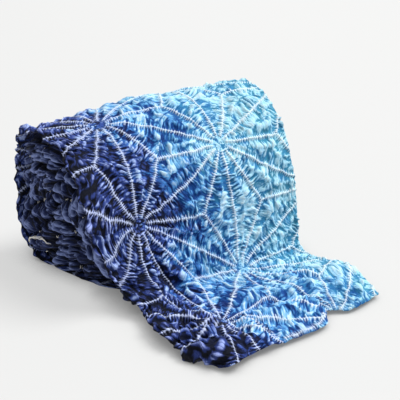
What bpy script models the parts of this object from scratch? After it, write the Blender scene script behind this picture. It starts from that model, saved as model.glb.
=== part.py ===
# A bolt of stitch-resist dyed cotton for a yukata, partly unrolled: one loom-width strip, still
# crinkled, comes off the top of its roll, runs down the front and ends on the table.
# Blender 4.5, metres, +Z up. The roll lies along X, and its free end points to -Y.

import math

import bmesh
import bpy
import numpy as np

MM = 0.001

# The strip, in millimetres.
STRIP_WIDTH = 300.0         # between the selvedges, crinkled
WALL = 2.6                  # the crinkled cloth, without its raised work
SEAM_GAP = 0.3              # between one stretch of the strip and the next
TABLE_SNAP = 3.0            # cloth nearer the table than this lies on it
MIDDLE_X = 158.77           # middle of the whole bolt's base, from the roll's left end
MIDDLE_Y = -217.54          # and from the point below the back of the roll

# The strip's run, from its cut end over the roll to its last stretch below it. y and z are its outer
# side's section, left and right are the selvedges, and left_y and left_z move the left end's section.
RUN_COLUMNS = ("place", "y", "z", "left", "right", "left_y", "left_z")
RUN = (
    ("cut_end", -400, 4, 62, 309, 0, 0),
    ("spread", -362, 7, 46, 323, 0, 1),
    ("apron", -320, 9, 40, 327, -2, 2),
    ("foot", -281, 8, 44, 301, -4, 2),
    ("ankle", -256, 16, 36, 294, -1, 11),
    ("shin", -241, 56, 19, 299, 1, 8),
    ("front", -230, 104, 8, 299, 2, 3),
    ("shoulder", -210, 150, 8, 299, 4, -4),
    ("brow", -171, 187, 3, 302, 3, -9),
    ("crown", -123, 201, -7, 302, -2, -13),
    ("nape", -76, 187, -11, 299, -8, -10),
    ("rear", -43, 144, -6, 299, -12, -4),
    ("back", -32, 96, -4, 299, -5, 0),
    ("heel", -47, 44, -10, 299, 0, 0),
    ("tuck", -80, 9, -5, 299, 0, 0),
    ("sole", -112, 0, 10, 299, 0, 0),
    ("under", -165, 0, 30, 299, 0, 0),
    ("under_end", -214, 0, 60, 299, 0, 0),
)
LEFT_REACH = 150.0          # how far along the roll left_y and left_z fade out

# The cut end isn't straight: how far it reaches forward of its row, and how far back that is felt.
CUT_COLUMNS = ("u", "forward")
CUT_LINE = (
    (0, -15),
    (16, 8),
    (70, 4),
    (140, 5),
    (186, 2),
    (206, -17),
    (240, -4),
    (300, -12),
)
CUT_REACH = 45.0
CUT_FOLD = 0.4              # share of a fold's height that is left at the cut end

# Where one node ends and the next begins, as places of the run.
SEAMS = ("cut_end", "foot", "crown", "sole", "under_end")

# Stitched hemp-leaf lattice: centres stand this far apart, one column of them runs along the strip.
LEAF_PITCH = 152.0
LEAF_U = 67.0
LEAF_V = 70.0
LINE_WIDTH = 4.5            # half width of a stitched line's ridge
LINE_HEIGHT = 5.0
LINE_SNAP = 2.7             # the mesh's points this close to a line are moved onto it
SNAP_SLOPE = 0.4            # least slope, squared, of the distance to a line that is counted with
CENTRE_BLANK = (8.0, 16.0)  # lines fade out between these distances from a centre

# Gathering pulls a few centres off the even lattice: u and v of the pull, how far, and its reach.
PULLS = (
    # place, u, v, du, dv, reach
    ("apron_left", 70, 58, 5, -17, 60),
    ("foot_right", 187, 132, -10, -5, 55),
    ("front_left", 62, 216, -4, 8, 50),
    ("selvedge_left", 28, 306, 8, 13, 36),
    ("brow_middle", 108, 304, -2, 3, 36),
    ("crown_left", 72, 366, 0, -3, 44),
    ("brow_right", 199, 298, 0, 4, 40),
    ("cut_notch", 206, 0, 20, 0, 34),
    ("selvedge_right", 298, 88, -4, 28, 42),
    ("selvedge_low", 5, 180, 0, -34, 45),
    ("shin_left", 27, 140, 18, -7, 32),
    ("apron_middle", 134, 92, 12, 0, 26),
)

# Folds of the cloth itself: ridges from one point of the strip to another, both sides of it raised.
FOLDS = (
    # place, u1, v1, u2, v2, width, height
    ("corner_roll", 14, 20, 92, 6, 13, 15),
    ("corner_swirl_outer", 22, 44, 60, 30, 9, 12),
    ("corner_swirl_inner", 44, 60, 74, 44, 8, 9),
    ("corner_tongue", 96, 34, 88, 6, 11, 13),
    ("corner_lip", 8, 62, 12, 96, 10, 9),
    ("left_gather", 30, 84, 66, 66, 9, 9),
    ("long_ridge", 104, 40, 214, 30, 12, 12),
    ("front_lip", 120, 12, 216, 10, 10, 7),
    ("right_swell", 190, 66, 268, 34, 17, 9),
    ("right_pleat", 214, 90, 284, 70, 12, 8),
    ("tip_pleat", 246, 26, 290, 8, 10, 6),
    ("middle_swell", 112, 92, 170, 70, 15, 7),
    ("shin_fold_left", 30, 132, 58, 214, 13, 6),
    ("shin_fold_middle", 96, 122, 84, 196, 12, 6),
    ("shin_fold_right", 236, 128, 262, 204, 15, 5),
    ("left_slack", 10, 236, 14, 318, 12, 5),
    ("crown_fold", 60, 320, 110, 380, 16, 4),
    ("shoulder_fold", 250, 300, 272, 384, 16, 4),
    ("nape_fold", 150, 430, 220, 470, 18, 4),
    ("rear_fold_left", 30, 470, 84, 560, 15, 5),
    ("rear_fold_right", 226, 440, 250, 548, 16, 5),
    ("heel_fold", 120, 560, 196, 596, 16, 4),
)

# Puckers of the crinkled cloth between the lines: a few slanted waves added together.
PUCKERS = (
    # wave length, slant in degrees, share
    (27.0, 24.0, 0.30),
    (22.0, -38.0, 0.28),
    (19.0, 71.0, 0.24),
    (31.0, 128.0, 0.18),
)
PUCKER_HEIGHT = 6.2
PUFF_REACH = 17.0           # the cloth reaches its full puff this far from a stitched line

# Mesh steps of the walls: columns across the strip, and the length of a row along it. Both sides
# of the last figure are even, because the plain inside has half as many.
COLUMNS = 40
ROW_LENGTH = 7.2
UNDER_COLUMNS = 16
UNDER_ROWS = 6

# The wound turns inside, in millimetres. At both ends a turn's selvedge stands out as a row of
# puffs, pinched where its stitches are; a turn's section goes from one gap in to the next.
CORE_MIDDLE = (-130.0, 100.0)
CORE_GAP = 1.3
CORE_RECESS = 3.0           # its ends lie this far inside the selvedges
CORE_STATIONS = 6
CORE_SIDES = 96
EYE_RADIUS = 5.0
TURNS = 4
TURN_COLUMNS = ("inward", "depth")
TURN_SECTION = (
    (0.0, 12.0),
    (0.26, 2.5),
    (0.5, 0.0),
    (0.74, 2.5),
)
PUFF_LENGTH = 36.0
PUFF_PINCH = 7.0            # how deep a pinch goes
TURN_SWAY = 2.6             # how far a turn strays inwards and outwards

COLOURS = {
    "bolt_inner_turns": (0.022, 0.032, 0.130),
    "stretch_under": (0.040, 0.090, 0.310),
    "stretch_back": (0.075, 0.220, 0.520),
    "stretch_front": (0.090, 0.270, 0.600),
    "stretch_apron": (0.120, 0.340, 0.640),
}


def clear_scene():
    for thing in list(bpy.data.objects):
        bpy.data.objects.remove(thing, do_unlink=True)


def smooth_step(value, low, high):
    share = np.clip((np.asarray(value, float) - low) / (high - low), 0.0, 1.0)
    return share * share * (3.0 - 2.0 * share)


def column(rows, columns, name):
    place = columns.index(name)
    return np.array([row[place] for row in rows], float)


def through_rows(values, step):
    """Catmull-Rom value at a fractional row number."""
    padded = np.concatenate([[2 * values[0] - values[1]], values, [2 * values[-1] - values[-2]]])
    row = np.clip(np.floor(step).astype(int), 0, len(values) - 2)
    share = step - row
    before, start, end, after = (padded[row + offset] for offset in range(4))
    return 0.5 * (
        2 * start
        + (end - before) * share
        + (2 * before - 5 * start + 4 * end - after) * share ** 2
        + (3 * start - before - 3 * end + after) * share ** 3
    )


def run_lengths():
    """Row numbers, and the strip's length up to each, measured on the plain section."""
    steps = np.linspace(0, len(RUN) - 1, 60 * (len(RUN) - 1) + 1)
    y = through_rows(column(RUN, RUN_COLUMNS, "y"), steps)
    z = through_rows(column(RUN, RUN_COLUMNS, "z"), steps)
    lengths = np.concatenate([[0.0], np.cumsum(np.hypot(np.diff(y), np.diff(z)))])
    return steps, lengths


RUN_STEPS, RUN_LENGTHS = run_lengths()


def length_at(place):
    row = [line[0] for line in RUN].index(place)
    return float(np.interp(row, RUN_STEPS, RUN_LENGTHS))


def cut_forward(u):
    ends = column(CUT_LINE, CUT_COLUMNS, "u")
    step = np.interp(u, ends, np.arange(len(ends)))
    return through_rows(column(CUT_LINE, CUT_COLUMNS, "forward"), step)


def strip_plain(u, v):
    """The strip's outer side without folds: u across from the left selvedge, v from the cut end."""
    step = np.interp(v, RUN_LENGTHS, RUN_STEPS)
    at = {name: through_rows(column(RUN, RUN_COLUMNS, name), step) for name in RUN_COLUMNS[1:]}
    fade = 1.0 - smooth_step(u, 0.0, LEFT_REACH)
    x = at["left"] + (at["right"] - at["left"]) * u / STRIP_WIDTH
    y = at["y"] + at["left_y"] * fade - cut_forward(u) * (1.0 - smooth_step(v, 0.0, CUT_REACH))
    z = np.maximum(at["z"] + at["left_z"] * fade, 0.0)
    return np.stack([x, y, z], axis=-1)


def outward(surface, u, v, step=0.6):
    """Unit normals of a surface of the strip, pointing away from the roll."""
    across = surface(u + step, v) - surface(u - step, v)
    along = surface(u, v + step) - surface(u, v - step)
    normal = np.cross(across, along)
    return normal / np.linalg.norm(normal, axis=-1, keepdims=True)


def segment_distance(u, v, u1, v1, u2, v2):
    length2 = (u2 - u1) ** 2 + (v2 - v1) ** 2
    share = np.clip(((u - u1) * (u2 - u1) + (v - v1) * (v2 - v1)) / length2, 0.0, 1.0)
    return np.hypot(u - u1 - share * (u2 - u1), v - v1 - share * (v2 - v1)), share


def fold_height(u, v):
    """Height of the folds: each is a rounded ridge that dies away at its two ends."""
    total = np.zeros(np.broadcast(u, v).shape)
    for name, u1, v1, u2, v2, width, height in FOLDS:
        distance, share = segment_distance(u, v, u1, v1, u2, v2)
        ridge = height * np.exp(-(distance / width) ** 2) * (0.7 + 0.3 * np.sin(math.pi * share))
        total = np.hypot(total, ridge)
    return total * (CUT_FOLD + (1.0 - CUT_FOLD) * smooth_step(v, 0.0, CUT_REACH / 2))


def strip_folded(u, v):
    plain = strip_plain(u, v)
    lift = fold_height(u, v) * rest_share(plain[..., 2], v)
    return plain + outward(strip_plain, u, v) * lift[..., None]


def rest_share(z, v):
    """0 where the outer side faces the table it rests on, 1 elsewhere."""
    beyond_back = smooth_step(v, length_at("back"), length_at("heel"))
    return 1.0 - beyond_back * (1.0 - smooth_step(z, 2.0, 26.0))


def leaf_distances(u, v):
    """Distance to the nearest stitched line, and to the nearest centre, of the hemp-leaf lattice."""
    for name, pull_u, pull_v, du, dv, reach in PULLS:
        pull = np.exp(-((u - pull_u) ** 2 + (v - pull_v) ** 2) / reach ** 2)
        u = u - du * pull
        v = v - dv * pull
    rise = LEAF_PITCH * math.cos(math.pi / 6)
    p = (u - LEAF_U) / rise
    q = (v - LEAF_V) / LEAF_PITCH - 0.5 * p
    p = p - np.floor(p)
    q = q - np.floor(q)
    upper = p + q > 1.0
    p, q = np.where(upper, 1.0 - p, p), np.where(upper, 1.0 - q, q)
    x = p * rise
    y = (q + 0.5 * p) * LEAF_PITCH
    corners = ((0.0, 0.0), (rise, LEAF_PITCH / 2), (0.0, LEAF_PITCH))
    middle = (rise / 3, LEAF_PITCH / 2)
    line = np.full(np.shape(x), LEAF_PITCH)
    centre = np.full(np.shape(x), LEAF_PITCH)
    for start, end in zip(corners, corners[1:] + corners[:1]):
        line = np.minimum(line, segment_distance(x, y, *start, *end)[0])
        line = np.minimum(line, segment_distance(x, y, *start, *middle)[0])
        centre = np.minimum(centre, np.hypot(x - start[0], y - start[1]))
    return line, centre


def pucker(u, v):
    """Uneven waves between 0 and 1."""
    total = 0.5
    for length, slant, share in PUCKERS:
        turn = math.radians(slant)
        along = u * math.cos(turn) + v * math.sin(turn)
        sway = 0.9 * np.sin((v * math.cos(turn) - u * math.sin(turn)) * 1.7 / length + slant)
        total = total + 0.5 * share * np.sin(2 * math.pi * along / length + sway)
    return total


def raised_work(u, v):
    """Height of the outer side's relief: stitched ridges, and puckered cloth puffed between them."""
    line, centre = leaf_distances(u, v)
    kept = smooth_step(centre, *CENTRE_BLANK)
    ridge = LINE_HEIGHT * np.exp(-(line / LINE_WIDTH) ** 2) * kept
    puff = smooth_step(line, 2.0, PUFF_REACH)
    return 0.3 + ridge + puff * PUCKER_HEIGHT * pucker(u, v) ** 1.8


def outer_side(u, v):
    folded = strip_folded(u, v)
    share = rest_share(folded[..., 2], v)
    points = folded + outward(strip_folded, u, v) * (raised_work(u, v) * share)[..., None]
    points[..., 2] = np.maximum(points[..., 2], 0.0)
    return points


def inner_side(u, v):
    """The plain inside, which lies down on the table where it comes close to it."""
    points = strip_folded(u, v) - outward(strip_folded, u, v) * WALL
    on_apron = v < length_at("foot") + 12.0
    low = points[..., 2] < TABLE_SNAP
    points[..., 2] = np.where(on_apron & low, 0.0, np.maximum(points[..., 2], 0.0))
    return points


def place_on_origin(points):
    return (points - np.array([MIDDLE_X, MIDDLE_Y, 0.0])) * MM


def new_object(name, vertices, faces, parent):
    mesh = bpy.data.meshes.new(name)
    mesh.from_pydata([tuple(point) for point in vertices], [], faces)
    body = bmesh.new()
    body.from_mesh(mesh)
    bmesh.ops.recalc_face_normals(body, faces=body.faces)
    body.to_mesh(mesh)
    body.free()
    mesh.shade_smooth()
    mesh.set_sharp_from_angle(angle=math.radians(50))
    thing = bpy.data.objects.new(name, mesh)
    bpy.context.scene.collection.objects.link(thing)
    thing.parent = parent
    mesh.materials.append(cloth_material(name))
    return thing


def cloth_material(name):
    material = bpy.data.materials.new(name + "_cotton")
    material.use_nodes = True
    shader = material.node_tree.nodes["Principled BSDF"]
    shader.inputs["Base Color"].default_value = (*COLOURS[name], 1.0)
    shader.inputs["Roughness"].default_value = 0.85
    shader.inputs["Metallic"].default_value = 0.0
    return material


def grid_faces(first, rows, columns, on_line=None):
    """Quads of a grid of points, facing out of the roll, cut where a stitched line crosses them."""
    faces = []
    for row in range(rows):
        for cell in range(columns):
            corner = first + row * (columns + 1) + cell
            quad = (corner, corner + 1, corner + columns + 2, corner + columns + 1)
            if on_line is not None and on_line[quad[0]] and on_line[quad[2]]:
                faces += [quad[:3], (quad[0], quad[2], quad[3])]
            elif on_line is not None and on_line[quad[1]] and on_line[quad[3]]:
                faces += [(quad[0], quad[1], quad[3]), quad[1:]]
            else:
                faces.append(quad)
    return faces


def snap_to_lines(u, v):
    """Moves the grid's inner points that are close to a stitched line onto it."""
    line, centre = leaf_distances(u, v)
    slope_u = (leaf_distances(u + 0.2, v)[0] - leaf_distances(u - 0.2, v)[0]) / 0.4
    slope_v = (leaf_distances(u, v + 0.2)[0] - leaf_distances(u, v - 0.2)[0]) / 0.4
    steepness = np.maximum(slope_u ** 2 + slope_v ** 2, SNAP_SLOPE)
    close = (line < LINE_SNAP * steepness) & (centre > CENTRE_BLANK[0])
    close[[0, -1], :] = False
    close[:, [0, -1]] = False
    move = line * close / steepness
    return u - slope_u * move, v - slope_v * move, close


def border(first, rows, columns):
    """Point numbers round a grid, anticlockwise seen from outside the roll."""
    wide = columns + 1
    bottom = [first + cell for cell in range(columns)]
    right = [first + row * wide + columns for row in range(rows)]
    top = [first + rows * wide + cell for cell in range(columns, 0, -1)]
    left = [first + row * wide for row in range(rows, 0, -1)]
    return bottom + right + top + left


def strip_wall(name, v_start, v_end, rows, columns, parent):
    """One stretch of the strip: a fine outer side, a plain inside of half the rows and columns."""
    u_fine = np.linspace(0.0, STRIP_WIDTH, columns + 1)
    v_fine = np.linspace(v_start, v_end, rows + 1)
    fine_u, fine_v = np.meshgrid(u_fine, v_fine)
    line_u, line_v, on_line = snap_to_lines(fine_u, fine_v)
    outer = outer_side(line_u, line_v).reshape(-1, 3)
    inner = inner_side(fine_u[::2, ::2], fine_v[::2, ::2]).reshape(-1, 3)
    faces = grid_faces(0, rows, columns, on_line.ravel())
    faces += [face[::-1] for face in grid_faces(len(outer), rows // 2, columns // 2)]
    fine = border(0, rows, columns)
    plain = border(len(outer), rows // 2, columns // 2)
    for corner, (near, far) in enumerate(zip(plain, plain[1:] + plain[:1])):
        start, middle, end = (fine[(2 * corner + offset) % len(fine)] for offset in range(3))
        faces += [(middle, start, near), (middle, near, far), (end, middle, far)]
    return new_object(name, place_on_origin(np.concatenate([outer, inner])), faces, parent)


def even_rows(length):
    return 2 * round(length / ROW_LENGTH / 2)


def core_outline(share, angles):
    """Outline of the inner turns, clear of the walls: x and radius, share of the way to the right."""
    v = np.linspace(length_at("ankle"), length_at("under_end"), 260)
    step = np.interp(v, RUN_LENGTHS, RUN_STEPS)
    left = through_rows(column(RUN, RUN_COLUMNS, "left"), step) + CORE_RECESS
    right = through_rows(column(RUN, RUN_COLUMNS, "right"), step) - CORE_RECESS
    u = STRIP_WIDTH * (CORE_RECESS + (right - left) * share) / (right - left + 2 * CORE_RECESS)
    inside = strip_plain(u, v) - outward(strip_plain, u, v) * (WALL + CORE_GAP)
    y = inside[:, 1] - CORE_MIDDLE[0]
    z = np.maximum(inside[:, 2], WALL + CORE_GAP) - CORE_MIDDLE[1]
    around = np.unwrap(np.arctan2(z, y))
    order = np.argsort(around)
    sampled = np.stack([left + (right - left) * share, np.hypot(y, z)])[:, order]
    return (np.interp(angles, around[order], values, period=2 * math.pi) for values in sampled)


def core_end(share_across, out, angles, phase):
    """Rings of one layered end, from the outline in to the eye."""
    x_outline, radii = core_outline(share_across, angles)
    deepest = max(column(TURN_SECTION, TURN_COLUMNS, "depth"))
    rings = []
    for turn in range(TURNS):
        middle_radius = float(radii.mean()) * (1.0 - (turn + 0.5) / TURNS)
        puffs = max(3, round(2 * math.pi * middle_radius / PUFF_LENGTH))
        puff = np.sqrt(np.abs(np.sin(puffs * angles / 2 + 2.4 * turn + phase)))
        sway = TURN_SWAY * np.sin((puffs // 2) * angles - 1.7 * turn + phase)
        for inward, depth in TURN_SECTION:
            share = 1.0 - (turn + inward) / TURNS
            crest = 1.0 - depth / deepest
            x_face = x_outline.mean() + (x_outline - x_outline.mean()) * share
            radius = EYE_RADIUS + (radii - EYE_RADIUS) * share + sway * crest * share
            depths = depth + PUFF_PINCH * (1.0 - puff) * crest
            rings.append(ring_points(x_face - out * depths, radius, angles))
    return rings


def ring_points(x, radius, angles):
    y = CORE_MIDDLE[0] + radius * np.cos(angles)
    z = CORE_MIDDLE[1] + radius * np.sin(angles)
    return np.stack([np.broadcast_to(x, y.shape), y, z], axis=-1)


def inner_turns(parent):
    """The wound turns: one rounded solid under the outer stretch, layered at both ends."""
    angles = np.linspace(0.0, 2 * math.pi, CORE_SIDES, endpoint=False)
    rings = core_end(0.0, -1.0, angles, 0.6)[::-1]
    for share in np.linspace(0.0, 1.0, CORE_STATIONS + 1)[1:-1]:
        rings.append(ring_points(*core_outline(share, angles), angles))
    rings += core_end(1.0, 1.0, angles, 2.1)
    points = np.concatenate(rings)
    faces = []
    for ring in range(len(rings) - 1):
        for side in range(CORE_SIDES):
            following = (side + 1) % CORE_SIDES
            near, far = ring * CORE_SIDES, (ring + 1) * CORE_SIDES
            faces.append((near + side, near + following, far + following, far + side))
    eyes = np.array([[ring[:, 0].mean(), *CORE_MIDDLE] for ring in (rings[0], rings[-1])])
    last = len(points) - CORE_SIDES
    for side in range(CORE_SIDES):
        following = (side + 1) % CORE_SIDES
        faces.append((len(points), following, side))
        faces.append((len(points) + 1, last + side, last + following))
    points = place_on_origin(np.concatenate([points, eyes]))
    return new_object("bolt_inner_turns", points, faces, parent)


def build():
    clear_scene()
    bolt = bpy.data.objects.new("bolt", None)
    bpy.context.scene.collection.objects.link(bolt)
    inner_turns(bolt)
    stretches = ("stretch_apron", "stretch_front", "stretch_back", "stretch_under")
    for name, start, end in zip(stretches, SEAMS, SEAMS[1:]):
        v_start = length_at(start) + SEAM_GAP / 2
        v_end = length_at(end) - SEAM_GAP / 2
        plain = name == "stretch_under"
        rows = UNDER_ROWS if plain else even_rows(v_end - v_start)
        columns = UNDER_COLUMNS if plain else COLUMNS
        strip_wall(name, v_start, v_end, rows, columns, bolt)


build()
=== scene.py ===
import math

import bpy
import numpy as np
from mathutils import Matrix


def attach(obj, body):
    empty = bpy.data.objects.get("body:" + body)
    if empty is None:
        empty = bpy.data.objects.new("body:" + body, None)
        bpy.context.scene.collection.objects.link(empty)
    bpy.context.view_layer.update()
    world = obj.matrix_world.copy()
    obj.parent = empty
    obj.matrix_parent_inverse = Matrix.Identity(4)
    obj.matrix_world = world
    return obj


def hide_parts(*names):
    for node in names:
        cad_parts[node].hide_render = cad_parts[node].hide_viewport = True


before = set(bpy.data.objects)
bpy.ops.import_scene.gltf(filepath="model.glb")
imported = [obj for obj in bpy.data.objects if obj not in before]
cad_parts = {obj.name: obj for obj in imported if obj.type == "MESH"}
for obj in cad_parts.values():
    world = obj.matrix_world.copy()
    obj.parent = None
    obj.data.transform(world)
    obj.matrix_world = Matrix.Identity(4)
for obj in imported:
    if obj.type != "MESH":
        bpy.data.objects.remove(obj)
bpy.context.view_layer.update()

mm = 0.001
print("frame loaded:", ", ".join(sorted(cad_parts)))

# The strip of cloth, in millimetres. Each row is a place along it, from the cut end over the roll:
# y and z are the section of its outer side, left and right the selvedges, leftY and leftZ how the
# left end's section differs.
strip = {
    "width": 300.0,
    "loomWidth": 380.0,
    "drawnIn": 0.8,                 # the share of its length that the crinkle leaves
    "middle": (158.77, -217.54),    # middle of the bolt's base, in the rows' own frame
    "columns": ("y", "z", "left", "right", "leftY", "leftZ"),
    "rows": {
        "cutEnd": (-400, 4, 62, 311, 0, 0),
        "spread": (-362, 7, 46, 317, 0, 1),
        "apron": (-320, 9, 40, 323, -2, 2),
        "foot": (-281, 8, 44, 301, -4, 2),
        "ankle": (-256, 16, 36, 294, -1, 11),
        "shin": (-241, 56, 19, 299, 1, 8),
        "front": (-230, 104, 8, 299, 2, 3),
        "shoulder": (-210, 150, 8, 299, 4, -4),
        "brow": (-171, 187, 3, 302, 3, -9),
        "crown": (-123, 201, -7, 302, -2, -13),
        "nape": (-76, 187, -11, 299, -8, -10),
        "rear": (-43, 144, -6, 299, -12, -4),
        "back": (-32, 96, -4, 299, -5, 0),
        "heel": (-47, 44, -10, 299, 0, 0),
        "tuck": (-80, 9, -5, 299, 0, 0),
        "sole": (-112, 0, 10, 299, 0, 0),
        "under": (-165, 0, 30, 299, 0, 0),
        "underEnd": (-214, 0, 60, 299, 0, 0),
    },
    "leftReach": 150.0,             # how far in the left end's section counts
    # the cut end: how far forward it runs at each place across, how far back that reaches, and the
    # share of the folds' height that is left at it
    "cutU": (0, 8, 24, 40, 70, 140, 186, 206, 240, 300),
    "cutForward": (-23, -7, 14, 10, 7, 8, 5, -16, -4, -12),
    "cutReach": 45.0,
    "cutFold": 0.4,
}

# Folds of the cloth: a ridge from one point of the strip to another, its width and its height.
# A point is u, across from the left selvedge, and v, along from the cut end.
folds = (
    (14, 20, 92, 6, 13, 15),
    (22, 44, 60, 30, 9, 12),
    (44, 60, 74, 44, 8, 9),
    (96, 34, 88, 6, 11, 13),
    (8, 62, 12, 96, 10, 9),
    (30, 84, 66, 66, 9, 9),
    (104, 40, 214, 30, 12, 12),
    (120, 12, 216, 10, 10, 7),
    (190, 66, 268, 34, 17, 9),
    (214, 90, 284, 70, 12, 8),
    (246, 26, 290, 8, 10, 6),
    (112, 92, 170, 70, 15, 7),
    (30, 132, 58, 214, 13, 6),
    (96, 122, 84, 196, 12, 6),
    (236, 128, 262, 204, 15, 5),
    (10, 236, 14, 318, 12, 5),
    (60, 320, 110, 380, 16, 4),
    (250, 300, 272, 384, 16, 4),
    (150, 430, 220, 470, 18, 4),
    (30, 470, 84, 560, 15, 5),
    (226, 440, 250, 548, 16, 5),
    (120, 560, 196, 596, 16, 4),
)

# The stitched hemp-leaf lattice, and the gathers that pull its centres about.
lattice = {
    "pitch": 152.0,
    "centre": (67.0, 70.0),
    # where a pull acts, how far it moves the cloth across and along, and its reach
    "pulls": (
        (70, 58, 5, -17, 60),
        (187, 132, -10, -5, 55),
        (62, 216, -4, 8, 50),
        (28, 306, 8, 13, 36),
        (108, 304, -2, 3, 36),
        (72, 366, 0, -3, 44),
        (199, 298, 0, 4, 40),
        (206, 0, 20, 0, 34),
        (298, 88, -4, 28, 42),
        (5, 180, 0, -34, 45),
        (27, 140, 18, -7, 32),
        (134, 92, 12, 0, 26),
    ),
    "centreBlank": (7.0, 12.0),     # where the ridges start, and are full, round a centre
    # stitched lines besides the lattice: along the cut edge, and up from it to the navy centre
    "extra": (
        ((106, 5), (126, 3), (150, 4), (172, 5), (192, 9)),
        ((92, 44), (104, 32), (110, 18), (106, 5)),
    ),
    "waver": (1.5, 13.0),           # how far and how often a stitched line wanders
}

# Relief of the cloth's outer side, in millimetres.
relief = {
    "ridge": (2.0, 2.0),            # height and width of a stitched line's ridge
    "puff": (2.0, 17.0),            # how far off a line the cloth starts to puff, and is full
    "puckerHeight": 3.8,
    # length, slant and share of the swells that make up the puffs
    "puckers": ((27.0, 24.0, 0.30), (22.0, -38.0, 0.28), (19.0, 71.0, 0.24), (31.0, 128.0, 0.18)),
    "pleat": (3.0, 1.2, 4.6),       # pitch, height and reach of the pleats that cross a line
    "pleatStart": ((0.0, 2.4), (1.0, 7.0), (5.0, 12.0)),    # from a line, a node and a centre
    "creases": (4.6, 23.0, 3.5, 17.0),  # width, length, height and reach of the creases beyond them
    "loose": (2.0, 13.0, 1.8),      # where the cloth between lines is free to crumple, and its rise
    # width, length, height and noise layer of the crumpled facets, and how much they come and go
    "facets": ((15.0, 30.0, 3.3, 61, 0.3), (6.5, 18.0, 1.1, 67, 0.9)),
    "gathers": (5.2, 1.5, 12.0),    # size, height and reach of the gathers round a centre
    "ease": 7.0,                    # how far the folds of two lines mix where they meet
    "least": 0.6,                   # how low the cloth may lie over the turn below
    "edge": (24.0, 21.0, 4.4, 1.3), # how far in, how long and how high left and right selvedges flute
    "edgeFold": (8.5, 11.0),        # width of its folds, and how far a stitched line pinches them
    "edgeSwing": (0.7, 9.0),        # how far the selvedge swings with them, and how far ahead of them
    "skin": (0.2, -0.2),            # how far the outer and the inner side stand off
    "lowest": (0.3, 0.0),           # how low each comes over the table
}

# Folds of the free end's navy corner: paths on the strip, with their width and height.
corner = {
    "middle": (24.0, 62.0),
    "reach": (34.0, 12.0),          # how far it spreads, and fades beyond that
    "longer": 0.5,                  # its width as a share of its length
    "lift": 2.4,
    "calm": 0.75,                   # how far the facets give way to these folds
    "sway": 7.0,                    # how long the sways of the folds are
    "valleyWidth": 2.6,
    "valleys": (
        ((59, 178), (58, 152), (49, 135), (50, 117), (50, 92)),
        ((4, 60), (16, 62), (31, 57), (29, 46)),
        ((34, 47), (29, 38), (34, 33)),
        ((8, 40), (9, 22), (20, 7)),
        ((26, 44), (18, 32), (20, 21), (30, 22)),
        ((50, 34), (47, 24), (56, 8)),
        ((12, 118), (18, 96), (19, 78)),
    ),
    "ridges": (
        (((42, 147), (33, 123), (41, 100), (44, 74)), 3.2, 3.4),
        (((0, 124), (3, 106), (5, 85), (8, 70)), 3.2, 3.4),
        (((12, 45), (23, 52), (22, 42), (15, 28), (15, 19), (14, 12), (31, 18)), 2.3, 3.4),
        (((33, 51), (27, 37), (21, 29), (28, 26), (39, 32), (42, 40), (40, 49)), 2.3, 3.2),
        (((65, 55), (53, 46), (43, 33), (39, 24), (34, 18), (23, 14), (11, 8)), 2.6, 3.8),
        (((36, 17), (21, 0), (33, 0)), 2.2, 2.6),
        (((46, 20), (25, 1)), 2.4, 2.6),
        (((74, 36), (65, 11)), 4.0, 2.4),
    ),
}


def smoothStep(value, low, high):
    share = np.clip((np.asarray(value, float) - low) / (high - low), 0.0, 1.0)
    return share * share * (3.0 - 2.0 * share)


def throughRows(values, step):
    # Catmull-Rom value at a fractional row number
    values = np.asarray(values, float)
    padded = np.concatenate([[2 * values[0] - values[1]], values, [2 * values[-1] - values[-2]]])
    row = np.clip(np.floor(step).astype(int), 0, len(values) - 2)
    share = step - row
    before, start, end, after = (padded[row + offset] for offset in range(4))
    return 0.5 * (
        2 * start
        + (end - before) * share
        + (2 * before - 5 * start + 4 * end - after) * share ** 2
        + (3 * start - before - 3 * end + after) * share ** 3
    )


def stripColumn(name):
    place = strip["columns"].index(name)
    return [row[place] for row in strip["rows"].values()]


spans, samples = len(strip["rows"]) - 1, 60
runSteps = np.linspace(0, spans, samples * spans + 1)
runY = throughRows(stripColumn("y"), runSteps)
runZ = throughRows(stripColumn("z"), runSteps)
runLengths = np.concatenate([[0.0], np.cumsum(np.hypot(np.diff(runY), np.diff(runZ)))])


def lengthAt(place):
    return float(np.interp(list(strip["rows"]).index(place), runSteps, runLengths))


def plainCloth(u, v):
    # the outer side without folds: u across from the left selvedge, v from the cut end
    step = np.interp(v, runLengths, runSteps)
    at = {name: throughRows(stripColumn(name), step) for name in strip["columns"]}
    fade = 1.0 - smoothStep(u, 0.0, strip["leftReach"])
    cutStep = np.interp(u, strip["cutU"], np.arange(len(strip["cutU"])))
    forward = throughRows(strip["cutForward"], cutStep) * (1.0 - smoothStep(v, 0.0, strip["cutReach"]))
    x = at["left"] + (at["right"] - at["left"]) * u / strip["width"]
    y = at["y"] + at["leftY"] * fade - forward
    z = np.maximum(at["z"] + at["leftZ"] * fade, 0.0)
    return np.stack([x, y, z], axis=-1)


def outward(surface, u, v, step=0.6):
    across = surface(u + step, v) - surface(u - step, v)
    along = surface(u, v + step) - surface(u, v - step)
    normal = np.cross(across, along)
    return normal / np.linalg.norm(normal, axis=-1, keepdims=True)


def alongPath(u, v, path):
    # distance from a path of points, and how far along the path that is
    away, run, passed = np.full(np.shape(u), 999.0), np.zeros(np.shape(u)), 0.0
    for (u1, v1), (u2, v2) in zip(path, path[1:]):
        length = math.hypot(u2 - u1, v2 - v1)
        share = np.clip(((u - u1) * (u2 - u1) + (v - v1) * (v2 - v1)) / length ** 2, 0.0, 1.0)
        here = np.hypot(u - u1 - share * (u2 - u1), v - v1 - share * (v2 - v1))
        run = np.where(here < away, passed + share * length, run)
        away = np.minimum(away, here)
        passed += length
    return away, run


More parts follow.
